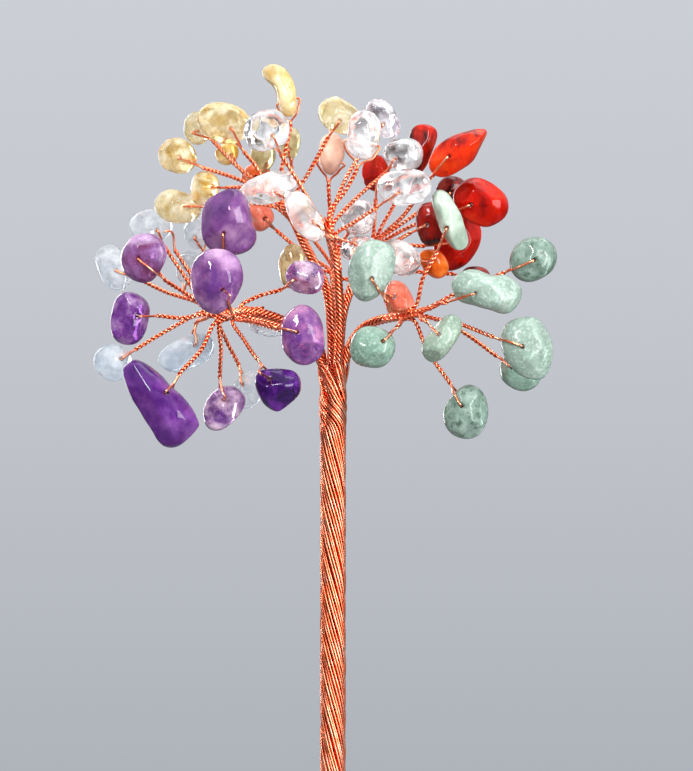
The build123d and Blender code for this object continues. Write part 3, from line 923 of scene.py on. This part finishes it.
def new_material(name):
    material = bpy.data.materials.new(name)
    material.use_nodes = True
    tree = material.node_tree
    return material, tree, tree.nodes["Principled BSDF"]


def noise_node(tree, where, scale, detail=3.0, roughness=0.5):
    return new_node(tree, "ShaderNodeTexNoise", {
        "Vector": where, "Scale": scale, "Detail": detail, "Roughness": roughness,
    })


def mapped(tree, value, low, high, first=0.0, last=1.0):
    """The value carried over from the range low to high into the range first to last."""
    return new_node(tree, "ShaderNodeMapRange", {
        "Value": value, "From Min": low, "From Max": high, "To Min": first, "To Max": last,
    })


def ramp_node(tree, fac, stops):
    stops = list(stops)
    ramp = new_node(tree, "ShaderNodeValToRGB", {"Fac": fac})
    elements = ramp.color_ramp.elements
    while len(elements) < len(stops):
        elements.new(0.5)
    for element, (position, code) in zip(elements, stops):
        element.position = position
        element.color = paint(code)
    return ramp


def object_place(tree, shift=(0, 0, 0), stretch=(1, 1, 1)):
    where = new_node(tree, "ShaderNodeTexCoord").outputs["Object"]
    return new_node(tree, "ShaderNodeMapping",
                    {"Vector": where, "Location": shift, "Scale": stretch})


def bumped(tree, fac, height):
    return new_node(tree, "ShaderNodeBump",
                    {"Height": fac, "Strength": 0.35, "Distance": height * MM})


def mixed_colour(tree, fac, first, second):
    mix = new_node(tree, "ShaderNodeMix", {"Factor": fac}, data_type="RGBA")
    fill(tree, mix, {"A": first, "B": second})
    return mix.outputs["Result"]


def copper_wire():
    """Bright drawn copper with darker and paler patches along the wire, and painted shade between
    the wires.
    """
    material, tree, shader = new_material("copper_wire")
    where = object_place(tree)
    patches = noise_node(tree, where, 420, 2.0)
    bright = ramp_node(tree, patches, [(0.30, "#F88458"), (0.50, "#FF9C74"), (0.72, "#FFBE9E")])
    # Painted shade: the copper turns dark red where its skin lies deep between other wires
    painted_light_mark = new_node(tree, "ShaderNodeAttribute", attribute_name="painted_light_level").outputs["Fac"]
    fill(tree, shader, {
        "Base Color": mixed_colour(tree, painted_light_mark, paint("#DC4016"), bright),
        "Roughness": mapped(tree, noise_node(tree, where, 2600, 2.0), 0, 1, 0.20, 0.28),
        "Metallic": 1.0,
    })
    return material


# A stone's finish: its colours from shade to light, how clear it is and how cloudy. cloud and
# vein_scale are in clouds per metre, veil is how much the pale clouds hide.
Look = namedtuple("Look", "shades clear cloud veil vein vein_share vein_scale roughness",
                  defaults=(0.5, 240.0, 0.5, "", 0.62, 450.0, 0.05))
looks = {
    "violet dark edges": Look("#501E73 #7C4195 #B08CB8", 0.55, 230),
    "lilac and wine": Look("#7C345D #90619C #CDABCD", 0.55, 160),
    "full violet": Look("#421666 #5A2977 #7A4791", 0.35, 140),
    "pale blotched": Look("#7C419C #C49EC9 #EAD0E1", 0.75, 330),
    "lilac facets": Look("#64367E #885991 #B28CB4", 0.45, 180),
    "mauve to violet": Look("#502968 #744580 #9A7399", 0.35, 120),
    "near black purple": Look("#1A0530 #38105C #622688", 0.5, 220),
    "lilac and pink": Look("#5E3286 #905D9C #C086AB", 0.5, 200),
    "pale water": Look("#E0E8F1 #E9EFF5 #F4F8FB", 0.74, 260, 0.25),
    "blue water": Look("#D2E0EE #DEE9F3 #ECF3F9", 0.72, 260, 0.25),
    "honey": Look("#E9C064 #F5E6BA #FBF5E0", 0.8, 260, 0.4),
    "clear honey": Look("#F3DC96 #FAF0CC #FEFAEA", 0.82, 260, 0.4),
    "deep honey": Look("#DCA634 #EEC86C #F8E6B0", 0.6, 260, 0.45),
    "amber edged": Look("#EEB840 #F8E4AA #FDF6DC", 0.7, 300, 0.4),
    "milky honey": Look("#EBC878 #F2DEA8 #F8ECCC", 0.6, 240, 0.45),
    "olive honey": Look("#C2B478 #D8CE9E #EBE4C6", 0.6, 220, 0.45),
    "rock crystal": Look("#F4F4F6 #FBFBFC #FFFFFF", 1.0, 200, 0.45),
    "frosted crystal": Look("#F0EFF2 #F9F9FA #FFFFFF", 0.92, 380, 0.6, roughness=0.1),
    "lilac crystal": Look("#DED6E4 #EFEBF2 #FAF8FC", 0.94, 260, 0.5),
    "rose crystal": Look("#F6E6E2 #FBF4F2 #FFFFFF", 0.95, 200, 0.45),
    "red": Look("#800802 #A60F03 #B82406", 0.0, 160, 0, "#5C0608", 0.68, 260, 0.16),
    "red streaked": Look("#A01606 #C42A08 #D24010", 0.0, 160, 0, "#6A100C", 0.6, 330, 0.16),
    "red and black": Look("#7A0A06 #A61406 #BE2A0A", 0.0, 200, 0, "#30080A", 0.58, 220, 0.12),
    "maroon mottled": Look("#4E0E12 #701818 #92342A", 0.0, 420, 0, "#2C080C", 0.58, 700, 0.14),
    "glowing orange": Look("#D04E0A #E86C1A #F29840", 0.3, 220),
    "mint": Look("#889F92 #91A89B #9DB2A6", 0.4, 220, 0.4, "#B4C6BC", 0.58, 1700, 0.17),
    "fresh green": Look("#769584 #80A08F #90AE9F", 0.4, 220, 0.4, "#A2BCAD", 0.58, 1700, 0.17),
    "sage": Look("#8AA090 #94AA98 #A0B4A4", 0.38, 220, 0.4, "#B0C2B2", 0.58, 1700, 0.19),
    "pale sage": Look("#94A898 #A2B4A4 #B2C2B2", 0.3, 260, 0.5, "#98AC96", 0.66, 1600, 0.18),
    "speckled green": Look("#728C7E #88A094 #A4B8AE", 0.42, 300, 0.4, "#4E6656", 0.62, 800, 0.14),
    "bright orange": Look("#D84814 #EA622A #F4824E", 0.1, 220),
    "salmon": Look("#E46A52 #F08268 #F89C86", 0.2, 240, 0.5, "#F8C4B4", 0.7, 700),
    "peach": Look("#D2A088 #E0B29A #EAC6B2", 0.15, 330, roughness=0.28),
    "cream spotted": Look("#CC9E5E #E4CC98 #F2E4C6", 0.5, 330, 0.5, "#6A3C18", 0.62, 600),
}
softer_index = {"pale water": 1.12, "blue water": 1.12, "honey": 1.26, "clear honey": 1.26,
                "deep honey": 1.28, "amber edged": 1.28, "olive honey": 1.28, "red": 1.3,
                "red streaked": 1.32}
streaked_looks = ("red", "red streaked", "red and black")
clear_as_glass = 0.9


def stone_material(name, look, seed):
    """Polished stone: clouds of three shades, soft veins or specks and a faint uneven skin."""
    material, tree, shader = new_material(name.replace(" ", "_"))
    where = object_place(tree, (seed, seed * 0.7, -seed * 0.3))
    detail = 2.0 if look.clear > clear_as_glass else 6.0
    clouds = noise_node(tree, where, look.cloud, detail, 0.62)
    colour = ramp_node(tree, clouds, zip((0.36, 0.50, 0.64), look.shades.split()))
    if look.vein:
        stretch = (1.0, 1.0, 0.45) if name in streaked_looks else (1, 1, 1)
        long = object_place(tree, (seed, 0, seed), stretch)
        veins = noise_node(tree, long, look.vein_scale, 4.0)
        edge = mapped(tree, veins, look.vein_share - 0.08, look.vein_share + 0.06)
        colour = mixed_colour(tree, edge, colour, paint(look.vein))
    clear = look.clear
    if look.clear and look.veil:
        clear = mapped(tree, clouds, 0.42, 0.68, look.clear, look.clear * (1 - look.veil))
    fill(tree, shader, {
        "Base Color": colour,
        "Normal": bumped(tree, noise_node(tree, where, 700, 2.0), 0.04),
        "Roughness": look.roughness,
        "IOR": softer_index.get(name, 1.40),
        "Transmission Weight": clear,
    })
    return material


def slab_stone():
    """Split grey stone with darker pits and pale grains."""
    material, tree, shader = new_material("slab_stone")
    where = object_place(tree)
    broad = noise_node(tree, where, 70, 8.0, 0.62)
    fill(tree, shader, {
        "Base Color": ramp_node(tree, broad,
                                [(0.30, "#4A4744"), (0.52, "#6F6A64"), (0.75, "#98928A")]),
        "Normal": bumped(tree, noise_node(tree, where, 900, 6.0), 0.4),
        "Roughness": 0.85,
    })
    return material


# Slab
def slab_piece():
    """A broken slice of stone, flat underneath."""
    corners = [(x * slab_length / 2, y * slab_width / 2, 0) for x, y in slab_outline_shares]
    edge = smooth_line(corners + corners[:1], slab_edge_step)[:-1]
    mesh = grained_mesh(loft("blank", [
        [point(p[0] * width, p[1] * width, height) for p in edge] for height, width in slab_levels
    ]), slab_grain)
    for vertex in mesh.vertices:
        spot = vertex.co / MM
        if spot.z <= slab_flat_height:
            vertex.co.z = 0
        elif spot.xy.length > slab_smooth_reach:
            rough = noise.fractal(spot * slab_pit_scale, 1.0, 2.1, 4)
            vertex.co -= vertex.normal * abs(rough) * slab_pit_depth * MM
    mesh.name = "slab_stone"
    mesh.polygons.foreach_set("use_smooth", [True] * len(mesh.polygons))
    return shown("slab_stone", mesh)


# The tree is put together
wire_tree = wire_drawing_tree()
copper = copper_wire()
gems = {name: stone_material(name, look, i * 0.37) for i, (name, look) in enumerate(looks.items())}


def dressed_stones(name, stones, body, node):
    """One piece from several stones, each with its own finish, riding on a body."""
    used = list(dict.fromkeys(look for _, look in stones))
    places, faces, finishes, start = [], [], [], 0
    for (where, quads), look in stones:
        places.append(where)
        faces.append(quads + start)
        start += len(where)
        finishes += [used.index(look)] * len(quads)
    mesh = bpy.data.meshes.new(name)
    mesh.from_pydata(np.vstack(places).tolist(), [], np.vstack(faces).tolist())
    for look in used:
        mesh.materials.append(gems[look])
    mesh.polygons.foreach_set("material_index", finishes)
    mesh.polygons.foreach_set("use_smooth", [True] * len(finishes))
    piece = shown(name, mesh)
    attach(piece, body)
    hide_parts(node)


def branch_pieces(branch, seed):
    dice = np.random.default_rng(seed)
    stone = branch.stone
    body = f"branch_{stone}"
    wires = laid_wires(branch, dice)
    laid = drawn_wires(f"laid_wires_{stone}", wires, laid_diameter, laid_unevenness, seed)
    _, bend, run = hinge(branch)
    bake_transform(laid)
    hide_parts(f"strand_{stone}", f"rope_{stone}")
    _, ahead = hub_way(branch)
    tight, held = [], []
    for number, (chip, foot) in enumerate(zip(branch.chips, stem_feet(branch)), start=1):
        seat = chip_seat(branch, chip, foot[1])
        shape = tumbled_stone(chip, seat, dice)
        tree = BVHTree.FromPolygons([Vector(p) for p in shape[0]], shape[1].tolist())
        held.append(held_wire(chip, seat, tree, foot, ahead, dice))
        if chip.swing:
            name = f"chip_{stone}_{number}"
            dressed_stones(f"stone_{stone}_{number}", [(shape, chip.look)], name, name)
        else:
            tight.append((shape, chip.look))
    dressed_stones(f"stones_{stone}", tight, body, f"chips_{stone}")
    if stone == "amethyst":
        held += bare_hook(branch)
    stems = drawn_wires(f"twisted_stems_{stone}", held, wire_diameter, stem_unevenness,
                        seed + 20)
    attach(stems, body)
    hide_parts(f"stems_{stone}")


slab = slab_piece()
slab.data.materials.append(slab_stone())
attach(slab, "tree")
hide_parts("slab")
for seed, branch in enumerate(branches, start=11):
    branch_pieces(branch, seed)


# Floor, backdrop and light
def floor_disc():
    """A pale round floor that fades out into the backdrop."""
    disc = bmesh.new()
    bmesh.ops.create_circle(disc, cap_ends=True, segments=96, radius=0.33)
    material, tree, shader = new_material("pale_floor")
    where = new_node(tree, "ShaderNodeTexCoord").outputs["Object"]
    distance = new_node(tree, "ShaderNodeVectorMath", {0: where}, operation="LENGTH")
    fill(tree, shader, {
        "Base Color": paint("#727478"),
        "Roughness": 0.7,
        "Alpha": mapped(tree, distance.outputs["Value"], 0.12, 0.32, 1.0, 0.0),
    })
    floor = shown("floor", made_mesh("floor", disc))
    floor.data.materials.append(material)
    return floor


def backdrop_world():
    """A plain grey backdrop, paler above, seen straight and in stone and metal."""
    world = bpy.data.worlds.new("backdrop")
    world.use_nodes = True
    tree = world.node_tree
    tree.nodes.clear()
    way = new_node(tree, "ShaderNodeTexCoord").outputs["Generated"]
    height = new_node(tree, "ShaderNodeSeparateXYZ", {0: way}).outputs["Z"]
    path = new_node(tree, "ShaderNodeLightPath").outputs
    room = [(0.0, "#6A6A6C"), (0.36, "#909296"), (0.46, "#B8BBC2"), (0.54, "#C8CBD2"),
            (0.68, "#F0F2F6"), (1.0, "#FFFFFF")]
    mirrored = [(0.0, "#443E3E"), (0.40, "#686464"), (0.52, "#98989C"), (0.70, "#DADCE0"),
                (1.0, "#FFFFFF")]
    straight = [(0.0, "#AEB2B9"), (0.30, "#BABDC4"), (0.60, "#C4C7CE"), (1.0, "#CCCFD6")]

    def lit(stops, reach, strength):
        colour = ramp_node(tree, mapped(tree, height, -reach, reach), stops)
        return new_node(tree, "ShaderNodeBackground", {"Color": colour, "Strength": strength})

    seen = lit(room, 1.0, 0.85)
    for ray, light in [("Is Glossy Ray", lit(mirrored, 1.0, 0.9)),
                       ("Is Camera Ray", lit(straight, 0.09, 1.0))]:
        seen = new_node(tree, "ShaderNodeMixShader", {0: path[ray], 1: seen, 2: light})
    new_node(tree, "ShaderNodeOutputWorld", {"Surface": seen})
    return world


def softbox(name, spot, size, power, mirrored=True):
    light = bpy.data.lights.new(name, "AREA")
    light.shape = "RECTANGLE"
    light.size, light.size_y = size
    light.energy = power
    lamp = shown(name, light)
    lamp.location = spot
    aim = Vector((0, 0, 0.12)) - Vector(spot)
    lamp.rotation_euler = aim.to_track_quat("-Z", "Y").to_euler()
    lamp.visible_glossy = mirrored


floor_disc()
scene.world = backdrop_world()
softbox("key", (-0.45, -0.75, 0.80), (0.14, 0.55), 10.0)
softbox("fill", (0.72, -0.70, 0.25), (0.60, 1.0), 18.0)
softbox("front", (-0.2, -1.0, 0.25), (1.4, 1.2), 3.0, mirrored=False)
softbox("top", (0.0, 0.10, 0.95), (0.8, 0.5), 4.0)
softbox("rim", (-0.40, 0.75, 0.30), (0.12, 0.7), 2.5)

# Camera: straight on, level with the split of the trunk
picture_width = 693
point_size = 0.2
camera_right = 2.7
camera_height = 113.1
lens = bpy.data.cameras.new("camera")
lens.sensor_fit = "HORIZONTAL"
lens.sensor_width = 36.0
lens.lens = lens.sensor_width * view_distance / (picture_width * point_size)
camera = shown("camera", lens)
camera.location = (camera_right * MM, -view_distance * MM, camera_height * MM)
camera.rotation_euler = (radians(90), 0, 0)
scene.camera = camera
scene.view_settings.view_transform = "Standard"
